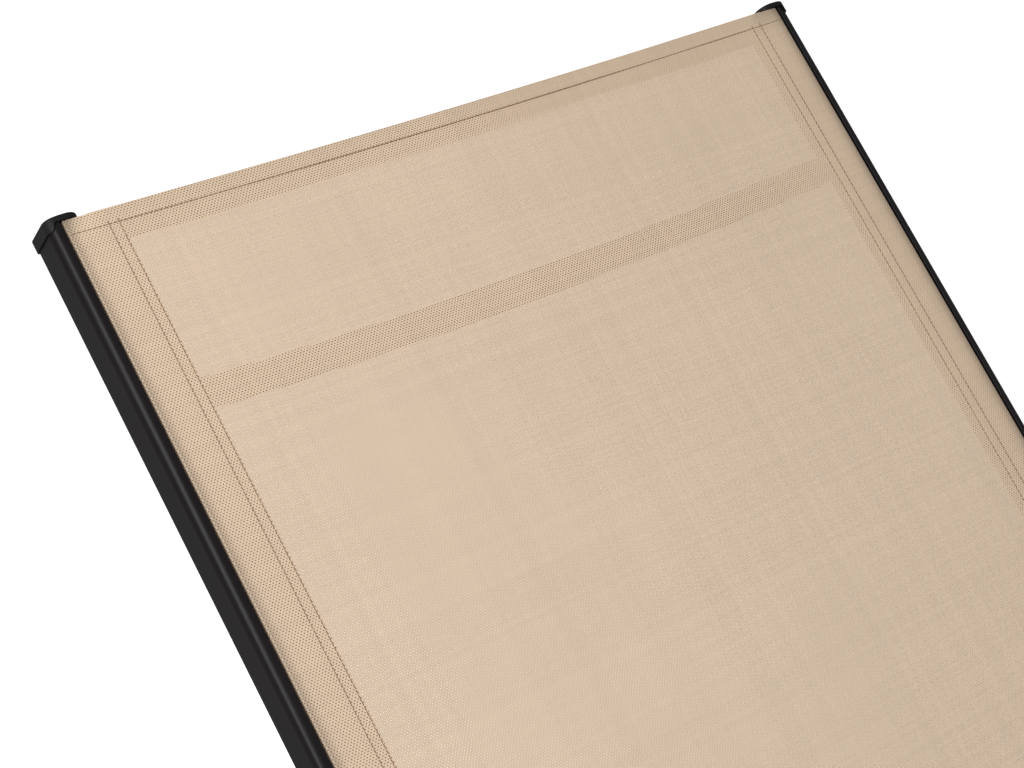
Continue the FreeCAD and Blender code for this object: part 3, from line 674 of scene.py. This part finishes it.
cap_finish = moulded_plastic(
    "Matte black cap", (0.0085, 0.0078, 0.0082), 0.45, 0.5 * MM, BLACK_GLOSS)
glide_finish = moulded_plastic(
    "Black glide", (0.016, 0.016, 0.016), 0.6, 0.7 * MM, BLACK_GLOSS)
rack_finish = moulded_plastic(
    "Black glass-filled rack", (0.018, 0.018, 0.019), 0.55, 0.6 * MM, BLACK_GLOSS)
nylon = moulded_plastic("Natural nylon", (0.62, 0.60, 0.54), 0.38, 0.8 * MM, PALE_GLOSS)
rod_plastic = moulded_plastic("Extruded rod", (0.5, 0.47, 0.42), 0.45, 0.8 * MM, PALE_GLOSS)
steel = turned_steel("Stainless steel")
print("made six finishes for the small parts")

# %% [markdown]
# ## Dressing the frame
# Each piece of the frame takes the finish of its material slot, so two pieces that come out of
# the same pot or mould look alike. The engineering meshes stay as they are.

# %% Give every frame piece its finish
FINISHES = {
    "frame_tube": rail_finish, "casting": cast_finish, "end_cap": cap_finish,
    "glide": glide_finish, "rack": rack_finish, "bush": nylon, "fastener": steel,
    "sling_rod": rod_plastic, "sling_mesh": cloth_material,
}
slots = {part["node"]: part["material_slot"] for part in frame["record"]["subparts"]}
for name, piece in nodes.items():
    piece.data.materials.clear()
    piece.data.materials.append(FINISHES[slots[name]])
print("dressed", len(nodes), "pieces")

# %% [markdown]
# ## Floor and light
# A pale floor and white panels make a product picture. The floor glows a little, and more
# towards its edge, where the panels don't reach, so that it stays white all over, as a light
# table does. The floor is hidden from reflections, because it would turn the black rails grey,
# which a real floor does a little. The tall narrow panel draws a highlight along the rails.

# %% Studio
FLOOR_RADIUS = 40.0
FLOOR_SHADES = ((0.90, 0.90, 0.90, 1), (0.93, 0.93, 0.93, 1))
GLOW_NEAR, GLOW_FAR = 1.5, 6.0          # the glow grows between these distances
GLOW_LOW, GLOW_HIGH = 0.50, 0.80
SKY_LIGHT = 0.36
KEY_POWER = 115
FILL_POWER = 22


def pale_floor():
    material, n, shader = new_material("Pale studio floor")
    place = n.make("ShaderNodeTexCoord").outputs["Object"]
    cloud = n.make("ShaderNodeTexNoise", Vector=place, Scale=2.0)
    n.feed(shader.inputs["Base Color"], n.ramp(cloud.outputs["Fac"], [
        (0.0, FLOOR_SHADES[0]), (1.0, FLOOR_SHADES[1])]))
    shader.inputs["Roughness"].default_value = 0.9
    shader.inputs["Emission Color"].default_value = (1, 1, 1, 1)
    reach = n.make("ShaderNodeVectorMath", {"operation": "LENGTH"}, Vector=place)
    glow = n.make("ShaderNodeMapRange", Value=reach.outputs["Value"], From_Min=GLOW_NEAR,
                  From_Max=GLOW_FAR, To_Min=GLOW_LOW, To_Max=GLOW_HIGH)
    n.feed(shader.inputs["Emission Strength"], glow.outputs["Result"])
    return material


floor_mesh = bmesh.new()
bmesh.ops.create_circle(floor_mesh, cap_ends=True, radius=FLOOR_RADIUS, segments=96)
floor_data = bpy.data.meshes.new("studio_floor")
floor_mesh.to_mesh(floor_data)
floor_mesh.free()
floor_data.materials.append(pale_floor())
floor = bpy.data.objects.new("studio_floor", floor_data)
bpy.context.scene.collection.objects.link(floor)
floor.visible_glossy = False

world = bpy.data.worlds.new("Studio")
world.use_nodes = True
sky = world.node_tree.nodes["Background"]
sky.inputs["Color"].default_value = (1.0, 1.0, 1.0, 1)
sky.inputs["Strength"].default_value = SKY_LIGHT
bpy.context.scene.world = world


def panel(name, place, target, size, power):
    light = bpy.data.lights.new(name, "AREA")
    light.shape = "RECTANGLE"
    light.size, light.size_y = size
    light.energy = power
    lamp = bpy.data.objects.new(name, light)
    bpy.context.scene.collection.objects.link(lamp)
    lamp.location = place
    lamp.rotation_euler = (Vector(target) - Vector(place)).to_track_quat("-Z", "Y").to_euler()


panel("Key panel", (-2.5, -0.1, 2.45), (-0.3, 0.6, 0.7), (0.9, 2.4), KEY_POWER)
panel("Fill panel", (1.2, -2.6, 2.6), (0, 0.4, 0.5), (2.4, 1.6), FILL_POWER)
scene = bpy.context.scene
scene.view_settings.view_transform = "Standard"
scene.view_settings.look = "None"
print("studio ready")

# %% [markdown]
# ## Camera
# A long lens from the front left and above fills the view with the head of the backrest, where
# the cloth, its seams and the caps are best seen. Its place is measured from the head corner of
# the cloth, so it follows the backrest if the frame changes size.

# %% Camera
VIEW_TURN = math.radians(38.6)
VIEW_DROP = math.radians(29.3)
LENS_MM = 79.7
SENSOR_MM = 36.0
FROM_CORNER = Vector((-0.522, -1.060, 0.543))
cloth_corner = BACK_PLACE @ Vector((-back_size["rod_x"] - SLEEVE_BEND, back_size["end"],
                                    back_size["top"]))
camera_data = bpy.data.cameras.new("Camera")
camera_data.lens = LENS_MM
camera_data.sensor_width = SENSOR_MM
camera = bpy.data.objects.new("Camera", camera_data)
scene.collection.objects.link(camera)
camera.location = cloth_corner + FROM_CORNER
look = Vector((math.sin(VIEW_TURN) * math.cos(VIEW_DROP),
               math.cos(VIEW_TURN) * math.cos(VIEW_DROP), -math.sin(VIEW_DROP)))
camera.rotation_euler = look.to_track_quat("-Z", "Y").to_euler()
scene.camera = camera
print("camera at", [round(value, 3) for value in camera.location])
